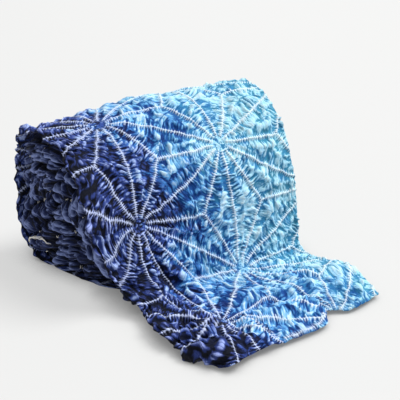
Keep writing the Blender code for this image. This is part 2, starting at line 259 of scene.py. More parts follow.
def foldHeight(u, v):
    total = np.zeros(np.shape(u))
    for u1, v1, u2, v2, width, height in folds:
        away, run = alongPath(u, v, ((u1, v1), (u2, v2)))
        share = run / math.hypot(u2 - u1, v2 - v1)
        ridge = height * np.exp(-(away / width) ** 2) * (0.7 + 0.3 * np.sin(math.pi * share))
        total = np.hypot(total, ridge)
    return total * (strip["cutFold"] + (1.0 - strip["cutFold"]) * smoothStep(v, 0.0, strip["cutReach"] / 2))


def offTable(z, v):
    # 0 where the outer side faces the table that it rests on
    beyondBack = smoothStep(v, lengthAt("back"), lengthAt("heel"))
    return 1.0 - beyondBack * (1.0 - smoothStep(z, 2.0, 26.0))


def foldedCloth(u, v):
    plain = plainCloth(u, v)
    lift = foldHeight(u, v) * offTable(plain[..., 2], v)
    return plain + outward(plainCloth, u, v) * lift[..., None]


noiseSource = np.random.RandomState(11)
noiseTurns = noiseSource.permutation(256)
noiseSlopes = noiseSource.uniform(0, 2 * math.pi, 256)


def cellKey(cellX, cellY, layer):
    # a random whole number below 256 for each cell of a layer
    return noiseTurns[(noiseTurns[(cellX + 71 * layer) % 256] + cellY) % 256]


def noise(x, y, layer=0):
    # smooth noise from -1 to 1, with a cell of one unit
    x, y = np.broadcast_arrays(np.asarray(x, float), np.asarray(y, float))
    cellX, cellY = np.floor(x).astype(int), np.floor(y).astype(int)
    offX, offY = x - cellX, y - cellY
    easeX = offX ** 3 * (offX * (offX * 6 - 15) + 10)
    easeY = offY ** 3 * (offY * (offY * 6 - 15) + 10)
    corners = []
    for stepX, stepY in ((0, 0), (1, 0), (0, 1), (1, 1)):
        angle = noiseSlopes[cellKey(cellX + stepX, cellY + stepY, layer)]
        corners.append(np.cos(angle) * (offX - stepX) + np.sin(angle) * (offY - stepY))
    low = corners[0] + (corners[1] - corners[0]) * easeX
    high = corners[2] + (corners[3] - corners[2]) * easeX
    return 1.5 * (low + (high - low) * easeY)


def pulledPlace(u, v):
    for pullU, pullV, du, dv, reach in lattice["pulls"]:
        pull = np.exp(-((u - pullU) ** 2 + (v - pullV) ** 2) / reach ** 2)
        u, v = u - du * pull, v - dv * pull
    waver, length = lattice["waver"]
    across, along = noise(u / length, v / length, 51), noise(u / length, v / length, 52)
    middleU, middleV = lattice["centre"]
    return u + waver * across - middleU, v + waver * along - middleV


def lineFrame(x, y, degrees):
    # place across and along the lines of one direction, and how far apart they stand
    turn = np.radians(degrees)
    spacing = lattice["pitch"] * np.where(degrees % 60 == 0, 0.5, math.cos(math.pi / 6))
    return y * np.cos(turn) - x * np.sin(turn), x * np.cos(turn) + y * np.sin(turn), spacing


def familyLines(u, v):
    # for each of the six directions of stitched lines: distance to its nearest line, run along it
    # and the line's number
    x, y = pulledPlace(u, v)
    lines = {}
    for degrees in range(0, 180, 30):
        across, run, spacing = lineFrame(x, y, degrees)
        number = np.round(across / spacing)
        lines[degrees] = (across - number * spacing, run, number)
    return lines


def nearestLine(families):
    # direction of the stitched line nearest to each place and of the second nearest, and the
    # place's distances to the nearest centre and node
    edges = np.stack([families[degrees][0] for degrees in (30, 90, 150)])
    spokes = np.stack([families[degrees][0] for degrees in (0, 60, 120)])
    centre = np.sqrt((edges ** 2).sum(axis=0) * 2 / 3)
    node = np.sqrt((spokes ** 2).sum(axis=0) * 2 / 3)
    edge = np.abs(edges).argmin(axis=0)
    following = (edge + 1) % 3
    pick = tuple(np.indices(edge.shape))
    gaps = np.abs(np.stack([edges[(edge, *pick)], spokes[(edge, *pick)], spokes[(following, *pick)]]))
    order = gaps.argsort(axis=0)
    degrees = np.stack([30 + 60 * edge, 60 * edge, 60 * following])
    return degrees[(order[0], *pick)], degrees[(order[1], *pick)], centre, node


def lineAt(families, degrees):
    # number, gap and run of the line of the given direction at each place
    parts = np.zeros((3, *np.shape(degrees)))
    for direction, (gap, run, number) in families.items():
        parts = np.where(degrees == direction, np.stack([number, gap, run]), parts)
    return parts


def acrossLines(families, pattern):
    # a pattern laid out from the nearest line, eased into that of the second nearest between them
    first, second, _, _ = nearestLine(families)
    values, gaps = [], []
    for degrees in (first, second):
        number, gap, run = lineAt(families, degrees)
        values.append(pattern(gap, run, number * np.sign(gap + 1e-9) + degrees / 7.0))
        gaps.append(np.abs(gap))
    share = 0.5 + 0.5 * smoothStep(gaps[1] - gaps[0], 0.0, relief["ease"])
    return values[0] * share + values[1] * (1.0 - share)


def creaseNoise(width, length, layer):
    # creases that run away from a stitched line, uneven in their spacing and length
    def pattern(gap, run, number):
        sway = 0.9 * noise(run / 23.0, gap / 21.0 + 3.7 * number, layer + 1)
        return noise(run / width + sway, gap / length + 5.3 * number, layer)
    return pattern


def facets(width, length, layer):
    # crumpled cloth: facets, nearly flat, that meet in sharp valleys and sharp ridges
    def pattern(gap, run, number):
        x, y = run / width, gap / length + 5.3 * number
        warpX, warpY = (noise(run / 17.0, gap / 17.0 + number, layer + step) for step in (0, 1))
        x = x + 0.35 * warpX + 0.6 * gap / width * noise(number, run / 40.0)
        y = y + 0.3 * warpY
        cellX, cellY = np.floor(x).astype(int), np.floor(y).astype(int)
        valleys, ridges = np.full(x.shape, -9.0), np.full(x.shape, 9.0)
        for stepX in (-1, 0, 1):
            for stepY in (-1, 0, 1):
                key = cellKey(cellX + stepX, cellY + stepY, layer)
                for offset in (0, 90):
                    turn = noiseSlopes[(key + offset) % 256]
                    level = 0.45 * np.cos(noiseSlopes[(key + offset + 40) % 256])
                    offX = x - cellX - stepX - 0.5 - 0.4 * np.cos(turn)
                    offY = y - cellY - stepY - 0.5 - 0.4 * np.sin(turn)
                    away = offX ** 2 + offY ** 2
                    if offset:
                        valleys = np.maximum(valleys, level - away)
                    else:
                        ridges = np.minimum(ridges, level + away)
        return valleys + ridges
    return pattern


def pucker(u, v):
    total = 0.5
    for length, slant, share in relief["puckers"]:
        turn = math.radians(slant)
        along = u * math.cos(turn) + v * math.sin(turn)
        sway = 0.9 * np.sin((v * math.cos(turn) - u * math.sin(turn)) * 1.7 / length + slant)
        total = total + 0.5 * share * np.sin(2 * math.pi * along / length + sway)
    return total


def plainWork(u, v):
    # puffs between the lines, without ridges and wrinkles
    families = familyLines(u, v)
    _, gap, _ = lineAt(families, nearestLine(families)[0])
    puff = smoothStep(np.abs(gap), *relief["puff"])
    return 0.3 + puff * relief["puckerHeight"] * pucker(u, v) ** 1.8


def pleatPhase(gap, run, number):
    # how many pleats there are from the start of a line
    sway = 0.45 * noise(run / 11.0, number * 3.7 + gap / 30.0, 1) + 0.22 * noise(run / 4.1, number * 1.9, 2)
    return run / relief["pleat"][0] + sway


def fineWork(u, v):
    # ridges of the stitched lines, the pleats that cross them, and the crumpled cloth between
    families = familyLines(u, v)
    degrees, _, centre, node = nearestLine(families)
    number, gap, run = lineAt(families, degrees)
    line = np.abs(gap)
    _, height, reach = relief["pleat"]
    byLine, byNode, byCentre = relief["pleatStart"]
    pleats = np.abs(np.sin(math.pi * pleatPhase(gap, run, number))) ** 0.8 - 0.6
    near = np.exp(-(line / reach) ** 2) * (0.3 + 0.7 * smoothStep(line, *byLine))
    uneven = 0.75 + 0.6 * noise(run / 4.5, number * 2.3, 5)
    total = height * uneven * pleats * near * smoothStep(node, *byNode) * smoothStep(centre, *byCentre)
    high, width = relief["ridge"]
    kept = smoothStep(centre, *lattice["centreBlank"])
    total = total + high * (0.9 + 0.22 * uneven * pleats) * np.exp(-(line / width) ** 2) * kept
    width, length, height, reach = relief["creases"]
    crease = 2.6 * np.abs(acrossLines(families, creaseNoise(width, length, 21))) - 0.8
    strength = np.clip(0.75 + 0.8 * noise(u / 18.0, v / 18.0, 24), 0.1, 1.4)
    total = total + height * crease * strength * smoothStep(line, 0.5, 3.0) * np.exp(-(line / reach) ** 2)
    start, full, rise = relief["loose"]
    loose = 0.12 + 0.88 * smoothStep(line, start, full)
    total = total + rise * loose
    for width, length, height, layer, patchy in relief["facets"]:
        crumpled = acrossLines(families, facets(width, length, layer))
        strength = np.clip(1.0 + 1.6 * patchy * noise(u / 21.0, v / 21.0, layer + 3), 0.1, 1.8)
        total = total + height * crumpled * strength * loose * cornerCalm(u, v)
    size, height, reach = relief["gathers"]
    gathered = np.exp(-(centre / reach) ** 2)
    return total + height * gathered * (2.4 * np.abs(noise(u / size, v / size, 27)) - 0.7)


def nearCorner(u, v):
    # 1 in the navy corner, fading to 0 round it
    (middleU, middleV), (reach, fade) = corner["middle"], corner["reach"]
    away = np.hypot(u - middleU, corner["longer"] * (v - middleV))
    return np.exp(-(np.maximum(away - reach, 0.0) / fade) ** 2)


def cornerCalm(u, v):
    return 1.0 - corner["calm"] * nearCorner(u, v)


def cornerFolds(u, v):
    # the free end's navy corner, curled over and folded into itself
    total = corner["lift"] * nearCorner(u, v)
    sway = noise(u / corner["sway"], v / corner["sway"], 45)
    for path in corner["valleys"]:
        total = total * (1.0 - np.exp(-((alongPath(u, v, path)[0] + sway) / corner["valleyWidth"]) ** 4))
    for path, width, height in corner["ridges"]:
        total = total + height * np.exp(-((alongPath(u, v, path)[0] + sway) / width) ** 2)
    return total


def flutedEdge(u, v):
    # the selvedges puff out between the stitched lines that pinch them, in folds along the strip
    inward, length, left, right = relief["edge"]
    foldWidth, pinch = relief["edgeFold"]
    onLeft = u < strip["width"] / 2
    height, seed = np.where(onLeft, left, right), np.where(onLeft, 0.0, 40.0)
    near = 1.0 - smoothStep(np.minimum(u, strip["width"] - u), 0.0, inward)
    families = familyLines(u, v)
    gap = np.abs(lineAt(families, nearestLine(families)[0])[1])
    puffed = 0.25 + 0.75 * smoothStep(gap, 0.0, pinch)
    wave = noise(v / length, seed, 30) + 0.6 * noise(v / 9.0, seed + u / 14.0, 31)
    folds = np.sin(2 * math.pi * u / foldWidth + 2.5 * noise(v / 26.0, seed + 7.0, 32))
    return near * height * puffed * (1.6 * wave + 0.5 * folds)


def toFrame(points):
    shifted = np.array(points, float)
    shifted[..., 0] -= strip["middle"][0]
    shifted[..., 1] -= strip["middle"][1]
    return shifted * mm


def clothSide(u, v, work, side):
    # the cloth's outer side, 0, or its inner side, 1, raised by the work where it is free
    folded = foldedCloth(u, v)
    height = work * offTable(folded[..., 2], v) + relief["skin"][side]
    points = folded + outward(foldedCloth, u, v) * height[..., None]
    swing, onward = relief["edgeSwing"]
    points[..., 0] += swing * flutedEdge(u, v + onward)
    points[..., 2] = np.maximum(points[..., 2], relief["lowest"][side])
    return points


def gridMesh(first, rows, columns, flipped=False):
    # the quads of a grid of points, and the points of its border in order
    index = first + np.arange((rows + 1) * (columns + 1)).reshape(rows + 1, columns + 1)
    quads = np.stack([index[:-1, :-1], index[:-1, 1:], index[1:, 1:], index[1:, :-1]], axis=-1)
    quads = quads.reshape(-1, 4)[:, ::-1 if flipped else 1]
    border = [*index[0, :-1], *index[:-1, -1], *index[-1, :0:-1], *index[:0:-1, 0]]
    return [tuple(quad) for quad in quads], border


def newObject(name, data):
    piece = bpy.data.objects.new(name, data)
    bpy.context.scene.collection.objects.link(piece)
    return piece


def meshObject(name, points, faces, smoothAngle=None):
    mesh = bpy.data.meshes.new(name)
    mesh.from_pydata([tuple(point) for point in points], [], [tuple(map(int, face)) for face in faces])
    mesh.update()
    piece = newObject(name, mesh)
    mesh.shade_smooth()
    if smoothAngle:
        mesh.set_sharp_from_angle(angle=math.radians(smoothAngle))
    return piece


def addAttribute(piece, name, values):
    values = np.asarray(values, np.float32)
    kind = "FLOAT" if values.ndim == 1 else "FLOAT_VECTOR"
    layer = piece.data.attributes.new(name, kind, "POINT")
    layer.data.foreach_set("value" if values.ndim == 1 else "vector", values.ravel())


# How far the dye reaches: at each length along the strip, where navy ends and where light blue begins.
dye = {
    "v": (0, 30, 80, 130, 180, 210, 240, 280, 330, 380, 430, 520, 760),
    "navy": (88, 74, 64, 82, 72, 110, 104, 84, 80, 58, 66, 90, 90),
    "light": (272, 250, 230, 190, 188, 194, 188, 178, 168, 160, 150, 180, 180),
    "mottle": 26.0,                 # how far its edge wanders
    "shares": (0.0, 0.26, 0.50, 0.76, 1.0),     # at the left, where navy ends, a little on, light, right
    "quick": 26.0,                  # how wide the step from navy to mid blue is
}


def dyeShare(u, v):
    # 0 navy, 1 light blue, with the uneven edges of a hand-dipped gradation
    blot = noise(u / 40.0, v / 40.0, 8) + 0.6 * noise(u / 19.0, v / 23.0, 9)
    blot = blot + 0.3 * noise(u / 8.0, v / 8.0, 10)
    blot = blot + 0.8 * acrossLines(familyLines(u, v), creaseNoise(5.3, 19.0, 41))
    place = u + dye["mottle"] * blot
    navy, light = np.interp(v, dye["v"], dye["navy"]), np.interp(v, dye["v"], dye["light"])
    total = np.zeros(place.shape)
    marks = (0.0 * navy, navy, navy + dye["quick"], light, 0.0 * navy + strip["width"])
    for begin, end, first, last in zip(marks, marks[1:], dye["shares"], dye["shares"][1:]):
        total = total + (last - first) * np.clip((place - begin) / (end - begin), 0.0, 1.0)
    return total


def blurred(grid, reach):
    # soft average over about twice the reach, in cells
    for axis in (0, 1):
        for _ in range(2):
            wide = np.pad(grid, [(reach, reach) if side == axis else (0, 0) for side in (0, 1)], "edge")
            total = np.cumsum(wide, axis=axis)
            total = np.insert(total, 0, 0.0, axis=axis)
            upTo = np.take(total, np.arange(2 * reach + 1, total.shape[axis]), axis=axis)
            before = np.take(total, np.arange(0, total.shape[axis] - 2 * reach - 1), axis=axis)
            grid = (upTo - before) / (2 * reach + 1)
    return grid


def clothStretch(name, start, end, columns, rows, wall):
    # one stretch of the strip as a closed shell: a fine outer side, an inside with half the rows
    u, v = np.meshgrid(np.linspace(0.0, strip["width"], columns + 1), np.linspace(start, end, rows + 1))
    folded = nearCorner(u, v)
    work = plainWork(u, v) * cornerCalm(u, v) + fineWork(u, v) + flutedEdge(u, v) + cornerFolds(u, v)
    work = relief["least"] + 0.5 * (work + np.sqrt(work ** 2 + 1.0))
    half = (slice(None, None, 2), slice(None, None, 2))
    outer = clothSide(u, v, work, 0)
    inner = clothSide(u[half], v[half], blurred(work, 1)[half] - wall, 1)
    points = np.concatenate([outer.reshape(-1, 3), inner.reshape(-1, 3)])
    outerFaces, fine = gridMesh(0, rows, columns)
    innerFaces, plain = gridMesh(u.size, rows // 2, columns // 2, flipped=True)
    faces = outerFaces + innerFaces
    for count, (near, far) in enumerate(zip(plain, plain[1:] + plain[:1])):
        begin, middle, last = (fine[(2 * count + offset) % len(fine)] for offset in range(3))
        faces += [(middle, begin, near), (middle, near, far), (last, middle, far)]
    piece = meshObject(name, toFrame(points), faces)
    # crests stand above the cloth round them, hollows lie below it; from this the shader paints highlight on
    # the crests and shade in the hollows
    soft = blurred(work, 2)
    crest = (work - soft) / 1.2 + (1.0 - 0.7 * folded) * (soft - blurred(work, 6)) / 3.0
    # the navy corner painted darker still, as the shade of its folds
    crest = np.tanh(crest) - 0.22 * folded
    allU, allV, allCrest = (np.concatenate([grid.ravel(), grid[half].ravel()]) for grid in (u, v, crest))
    addAttribute(piece, "clothPlace", np.stack([allU, allV, np.zeros(allU.size)], axis=-1) * mm)
    addAttribute(piece, "dye", dyeShare(allU, allV))
    addAttribute(piece, "loose", cornerCalm(allU, allV))
    addAttribute(piece, "crest", allCrest)
    addStitchAttribute(piece, allU, allV)
    return piece


def addStitchAttribute(piece, u, v):
    # gap, run and centre distance at each face corner, all of a face's corners on one line
    mesh = piece.data
    corners = np.zeros(len(mesh.loops), int)
    mesh.loops.foreach_get("vertex_index", corners)
    counts = np.zeros(len(mesh.polygons), int)
    mesh.polygons.foreach_get("loop_total", counts)
    faceOf = np.repeat(np.arange(len(counts)), counts)
    middleU, middleV = (np.bincount(faceOf, place[corners]) / counts for place in (u, v))
    families = familyLines(middleU, middleV)
    degrees = nearestLine(families)[0]
    number, middleGap, _ = lineAt(families, degrees)
    degrees, number = degrees[faceOf], number[faceOf]
    across, run, spacing = lineFrame(*pulledPlace(u[corners], v[corners]), degrees)
    gap = across - number * spacing
    run = relief["pleat"][0] * (pleatPhase(gap, run, number) + 32.0 * number + degrees / 2.0)
    centre = nearestLine(familyLines(u[corners], v[corners]))[2]
    values = np.stack([gap, run, centre])
    for path in lattice["extra"]:
        away, passed = alongPath(u[corners], v[corners], path)
        extra = (alongPath(middleU, middleV, path)[0] < np.minimum(np.abs(middleGap), 9.0))[faceOf]
        values = np.where(extra, np.stack([away, passed, np.full(away.shape, 99.0)]), values)
    layer = mesh.attributes.new("stitch", "FLOAT_VECTOR", "CORNER")
    layer.data.foreach_set("vector", values.T.astype(np.float32).ravel())


seam, wall = 0.15, 1.0      # half the gap between two stretches, and the shell's thickness
stretches = {
    # node, where it starts and ends, columns, rows, share of length left, how it is held
    "clothApron": ("stretch_apron", "cutEnd", "foot", 260, 116, strip["drawnIn"], "laid"),
    "clothFront": ("stretch_front", "foot", "crown", 260, 250, strip["drawnIn"], "laid"),
    "clothBack": ("stretch_back", "crown", "sole", 200, 176, strip["drawnIn"], "draped"),
    "clothUnder": ("stretch_under", "sole", "underEnd", 60, 20, 1.0, "laid"),
}
pieces = {}
for name, (node, first, last, columns, rows, drawnIn, held) in stretches.items():
    start, end = lengthAt(first) + seam, lengthAt(last) - seam
    pieces[name] = clothStretch(name, start, end, columns, rows, wall)
    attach(pieces[name], "root")
    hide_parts(node)
    print("cloth stretch:", name, len(pieces[name].data.polygons), "faces")


# The wound turns at the roll's two ends. A turn's selvedge comes out as a row of leaf-shaped puffs,
# pinched between them where stitches reach it, and creased along its length.
ends = {
    "middle": (-130.0, 100.0),
    "eye": 11.0,
    "clear": 11.0,          # from the outer stretch's outer side to the first turn's middle
    "first": -0.1,          # where the spiral's first row stands, as an angle from the back
    "start": -2.27,         # where its first turn leaves the outer stretch's end
    "depth": 19.0,          # from a puff's crest in to where its sides meet the turns inside
    "bend": 1.75,           # how far round a puff's sides turn
    "crease": 3.2,          # height of the creases along a puff, and of the crumples between
    "crumple": 2.6,
    "shell": 0.9,
    "ribbon": 45.0,         # flat width of what shows of a turn
    # puffShape: less is longer, with narrower pinches; step is along the turns, columns over a puff
    "selvedgesLeft": {"side": -1, "turns": 4.3, "puffLength": 31.0, "puffShape": 0.75, "puffWidth": 0.54,
                      "step": 1.4, "columns": 30, "seed": 3.0},
    "selvedgesRight": {"side": 1, "turns": 3.6, "puffLength": 54.0, "puffShape": 0.42, "puffWidth": 0.5,
                       "step": 1.9, "columns": 22, "seed": 11.0},
}


def endOutline(side, angles, inside):
    # the strip's section at one selvedge, moved inwards: x, and radius about the roll's middle
    v = np.linspace(lengthAt("ankle"), lengthAt("underEnd"), 260)
    u = np.full(v.shape, 0.0 if side < 0 else strip["width"])
    section = plainCloth(u, v) - outward(plainCloth, u, v) * inside
    y = section[:, 1] - ends["middle"][0]
    z = np.maximum(section[:, 2], inside) - ends["middle"][1]
    around = np.unwrap(np.arctan2(z, y))
    order = np.argsort(around)
    x, radius = section[order, 0], np.hypot(y, z)[order]
    return (np.interp(angles, around[order], values, period=2 * math.pi) for values in (x, radius))


def gridShell(name, surface, thick):
    # a closed shell of even thickness round a grid of points
    along, across = np.gradient(surface, axis=0), np.gradient(surface, axis=1)
    normal = np.cross(across, along)
    normal = normal / np.maximum(np.linalg.norm(normal, axis=-1, keepdims=True), 1e-9)
    points = np.concatenate([(surface + normal * side * thick / 2).reshape(-1, 3) for side in (1, -1)])
    rows, columns = surface.shape[0] - 1, surface.shape[1] - 1
    half = len(points) // 2
    faces, edge = gridMesh(0, rows, columns)
    faces += gridMesh(half, rows, columns, flipped=True)[0]
    for near, far in zip(edge, edge[1:] + edge[:1]):
        faces.append((far, near, near + half, far + half))
    return meshObject(name, toFrame(points), faces)


def woundPlaces(made):
    # angles round the spiral of selvedges, x, radius, and radius of the outermost turn at each
    table = np.linspace(0, 2 * math.pi, 181)
    edgeX, edgeRadius = endOutline(made["side"], table, ends["clear"])
    narrowest = 6.0

    def spiral(angle):
        # set in as the turns go round from the front by the top to the back
        done = np.maximum((ends["start"] - np.asarray(angle)) / (2 * math.pi), 0.0)
        share = 1.0 - done / made["turns"]
        x, radius = (np.interp(np.mod(angle, 2 * math.pi), table, values) for values in (edgeX, edgeRadius))
        x = x * share + edgeX.mean() * (1.0 - share)
        return x, ends["eye"] + (radius - ends["eye"]) * share, radius

    angles = [ends["first"]]
    while angles[-1] > ends["start"] - 2 * math.pi * made["turns"]:
        angles.append(angles[-1] - made["step"] / max(float(spiral(angles[-1])[1]), narrowest))
    return np.array(angles), *spiral(np.array(angles))


def woundSelvedge(name, made):
    # the selvedges at one end: rows go round the spiral, columns go over each puff from side to side
    angles, x, radius, outerRadius = woundPlaces(made)
    seed, columns = made["seed"], made["columns"]
    run = np.concatenate([[0.0], np.cumsum(-np.diff(angles) * radius[1:])])
    share = np.linspace(-1.0, 1.0, columns + 1)[None, :]
    phase = run / made["puffLength"] + 0.5 * noise(run / 47.0, seed, 33) + 0.2 * noise(run / 19.0, seed, 34)
    pinches = np.nonzero(np.diff(np.floor(phase)))[0]
    puff = (np.abs(np.sin(math.pi * phase)) ** made["puffShape"])[:, None]
    size = 1.0 + 0.35 * noise(np.floor(phase) * 0.71, seed, 35)
    size = (size * (0.2 + 0.8 * smoothStep(run, 0.0, 60.0)))[:, None]
    half = made["puffWidth"] * (outerRadius - ends["eye"])[:, None] / made["turns"]
    half = half * (0.16 + 0.84 * puff) * size
    turn = share * ends["bend"]
    run, around, count = run[:, None], angles[:, None], np.floor(phase)[:, None]
    creases = share * (2.4 + 0.6 * noise(count * 0.37, seed, 36)) + 0.4 * noise(run / 31.0, seed, 37)
    fold = (1.6 * np.abs(np.sin(math.pi * creases)) ** 0.7 - 1.0) * (0.3 + 0.7 * puff)
    crumple = 2.4 * np.abs(noise(run / 12.0, share * 3.0 + seed, 38)) - 0.7
    crumple = crumple + 0.7 * noise(run / 6.0, share * 3.7 + seed, 39)
    gathers = (1.0 - puff) * np.sin(2 * math.pi * (share * 2.6 + 0.3 * noise(run / 12.0, seed, 40)))
    raised = ends["crease"] * fold + ends["crumple"] * crumple * (0.5 + 0.5 * puff) + 1.3 * gathers
    rise = np.cos(turn) * (0.3 + 0.7 * puff * size)
    inward = ends["depth"] * (1.0 - rise) - raised * np.maximum(np.cos(turn), 0.2) + 1.5
    out = radius[:, None] + half * np.sin(turn) + 0.5 * raised * np.sin(turn)
    out = out + 3.2 * noise(run / 41.0, seed, 41) + 1.6 * noise(run / 13.0, share + seed, 42)
    y = ends["middle"][0] + out * np.cos(around)
    z = np.maximum(ends["middle"][1] + out * np.sin(around), 2.5)
    surface = np.stack([x[:, None] - made["side"] * inward, y, z], axis=-1)
    piece = gridShell(name, surface, ends["shell"])
    place = np.stack(np.broadcast_arrays((share + 1.0) * ends["depth"], run, 0.0 * share), axis=-1)
    addAttribute(piece, "clothPlace", np.concatenate([place.reshape(-1, 3)] * 2) * mm)
    # painted shade in the gaps between the puffs and in their creases, painted highlight where they rise,
    # and a random shade for each puff
    crest = 1.1 * fold + 0.7 * crumple + 2.6 * (rise - 0.6) + 0.5 * noise(count * 0.43, seed, 43)
    addAttribute(piece, "crest", np.concatenate([crest.ravel(), crest.ravel()]))
    return piece, float(run[-1, 0]), surface[pinches, columns // 2]


# Stitching thread at the left end: small knots at the pinches, and a loop that has come loose.
looseThread = {
    "radius": 0.36,
    "knotTurns": 1.6,
    "knotSize": (1.5, 0.7),     # and how much that differs
    "knotDrift": 1.3,
    "knotOut": (5.0, 1.5),      # how far a knot stands out, and how deep it is
    "loop": ((6, -86, 31), (-3, -78, 26), (-6, -68, 22), (-7, -72, 29), (-7, -82, 35), (-6, -95, 40),
             (-5, -104, 43), (-4, -115, 46), (-2, -120, 43), (6, -114, 36)),
    "strands": 4,
}


def threadPiece(name, paths):
    # threads as tubes along the given paths, in one piece
    curve = bpy.data.curves.new(name, "CURVE")
    curve.dimensions = "3D"
    curve.bevel_depth = looseThread["radius"] * mm
    curve.bevel_resolution = 1
    curve.resolution_u = 2
    curve.use_fill_caps = True
    for path in paths:
        spline = curve.splines.new("POLY")
        spline.points.add(len(path) - 1)
        spline.points.foreach_set("co", np.column_stack([toFrame(path), np.ones(len(path))]).ravel())
    bpy.ops.object.select_all(action="DESELECT")
    piece = newObject(name, curve)
    piece.select_set(True)
    bpy.context.view_layer.objects.active = piece
    bpy.ops.object.convert(target="MESH")
    piece.data.shade_smooth()
    return piece


def knotPaths(places):
    # a small tangle of thread end at each place
    paths = []
    turns = np.linspace(0.0, 2 * math.pi * looseThread["knotTurns"], 22)
    (size, vary), (out, deep) = looseThread["knotSize"], looseThread["knotOut"]
    drift = looseThread["knotDrift"]
    for count, place in enumerate(places):
        around = size + vary * noise(count * 0.61, 5.0, 46)
        lean = count * 2.4
        driftY, driftZ = (drift * noise(turns * 0.4, count * 1.7, layer) for layer in (47, 48))
        y = around * np.cos(turns + lean) + driftY
        z = around * 0.8 * np.sin(turns * 1.1) + driftZ
        x = -out - deep * np.sin(turns * 0.7 + lean)
        paths.append(np.stack([place[0] + x, place[1] + y, place[2] + z], axis=-1))
    return paths


def loopPaths():
    # loose strands that bow out of the folds and back in again
    columns = np.transpose(looseThread["loop"])
    step = np.linspace(0.0, len(looseThread["loop"]) - 1.0, 40)
    bow = np.sin(math.pi * step / step[-1])
    paths = []
    for strand in range(looseThread["strands"]):
        x, y, z = (throughRows(column, step) for column in columns)
        x = x + 1.5 * bow * noise(1.3 * step, strand * 1.7, 48)
        y = y + 1.6 * bow * noise(0.9 * step, strand * 2.3, 50)
        z = z + ((0.9 * strand - 1.4) * bow + 1.4 * noise(0.9 * step, strand * 2.3, 49))
        paths.append(np.stack([x, y, z], axis=-1))
    return paths


def woundBody(name):
    # the turns inside, as one rounded body, set back behind the selvedges
    sides, stations = 96, 12
    clear, overlap, lowest = 3.5, 4.0, 2.0      # off the outer stretch, behind the selvedges, off the table
    inset = ends["depth"] - overlap
    angles = np.linspace(0, 2 * math.pi, sides, endpoint=False)
    left, right = (list(endOutline(side, angles, clear)) for side in (-1, 1))
    # each ring: how far it is to the right end, its size, and how far it is set back from its end
    domed = ((0.05, 4), (0.35, 2), (0.65, 0), (0.93, 0), (1, 4))
    rings = [(0, scale, inset + back) for scale, back in domed]
    rings += [(station / stations, 1, 0) for station in range(1, stations)]
    rings += [(1, scale, -setBack) for _, scale, setBack in reversed(rings[:len(domed)])]
    points = []
    for share, scale, setBack in rings:
        x = left[0] + (right[0] - left[0]) * share
        x = x.mean() + (x - x.mean()) * scale + setBack
        radius = (left[1] + (right[1] - left[1]) * share) * scale
        y = ends["middle"][0] + radius * np.cos(angles)
        z = np.maximum(ends["middle"][1] + radius * np.sin(angles), lowest)
        points.append(np.stack([x, y, z], axis=-1))
    faces = []
    lastRing = (len(rings) - 1) * sides
    for near in range(0, lastRing, sides):
        for spot in range(sides):
            following = (spot + 1) % sides
            faces.append((near + spot, near + following, near + sides + following, near + sides + spot))
    faces += [tuple(range(sides))[::-1], tuple(range(lastRing, lastRing + sides))]
    return meshObject(name, toFrame(np.concatenate(points)), faces, smoothAngle=50)


body = woundBody("woundBody")
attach(body, "root")
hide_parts("bolt_inner_turns")
selvedges = {}
for name in ("selvedgesLeft", "selvedgesRight"):
    selvedges[name], length, pinches = woundSelvedge(name, ends[name])
    if name == "selvedgesLeft":
        threads = threadPiece("stitchThreads", knotPaths(pinches[::2]) + loopPaths())
    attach(selvedges[name], "root")
    print("selvedges:", name, len(selvedges[name].data.polygons), "faces", round(length), "mm")

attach(threads, "root")
print("threads:", len(threads.data.polygons), "faces")


def hexColour(code):
    # sRGB hex to the linear colour that shaders take
    parts = [int(code[place:place + 2], 16) / 255 for place in (1, 3, 5)]
    return (*(part / 12.92 if part <= 0.04045 else ((part + 0.055) / 1.055) ** 2.4 for part in parts), 1.0)


def feed(socket, value):
    # gives a socket a value, or the output that feeds it
    if isinstance(value, bpy.types.NodeSocket):
        socket.id_data.links.new(value, socket)
    else:
        socket.default_value = value


def newMaterial(name, finish):
    # a material with the given finish, its shader, and the function that adds nodes to it
    material = bpy.data.materials.new(name)
    material.use_nodes = True
    nodes = material.node_tree.nodes
    shader = nodes["Principled BSDF"]
    for key, value in finish.items():
        feed(shader.inputs[key], value)

    def addNode(kind, settings, *inputs):
        # settings are properties and sockets by name, inputs the sockets in their order
        node = nodes.new("ShaderNode" + kind)
        for key, value in settings.items():
            if key in node.inputs:
                feed(node.inputs[key], value)
            else:
                setattr(node, key, value)
        sockets = [socket for socket in node.inputs if socket.enabled]
        for socket, value in zip(sockets, inputs):
            feed(socket, value)
        return next(socket for socket in node.outputs if socket.enabled)

    return material, shader, addNode


# Settings that many of the nodes share.
add, subtract, multiply, divide, multiplyAdd = (
    {"operation": operation} for operation in ("ADD", "SUBTRACT", "MULTIPLY", "DIVIDE", "MULTIPLY_ADD"))
smooth = {"interpolation_type": "SMOOTHSTEP"}
colours = {"data_type": "RGBA"}


def setStops(ramp, stops):
    # a colour ramp's places and shades, the first at 0 and the last at 1
    for place, _ in stops[1:-1]:
        ramp.elements.new(place)
    for element, (_, code) in zip(ramp.elements, stops):
        element.color = hexColour(code)
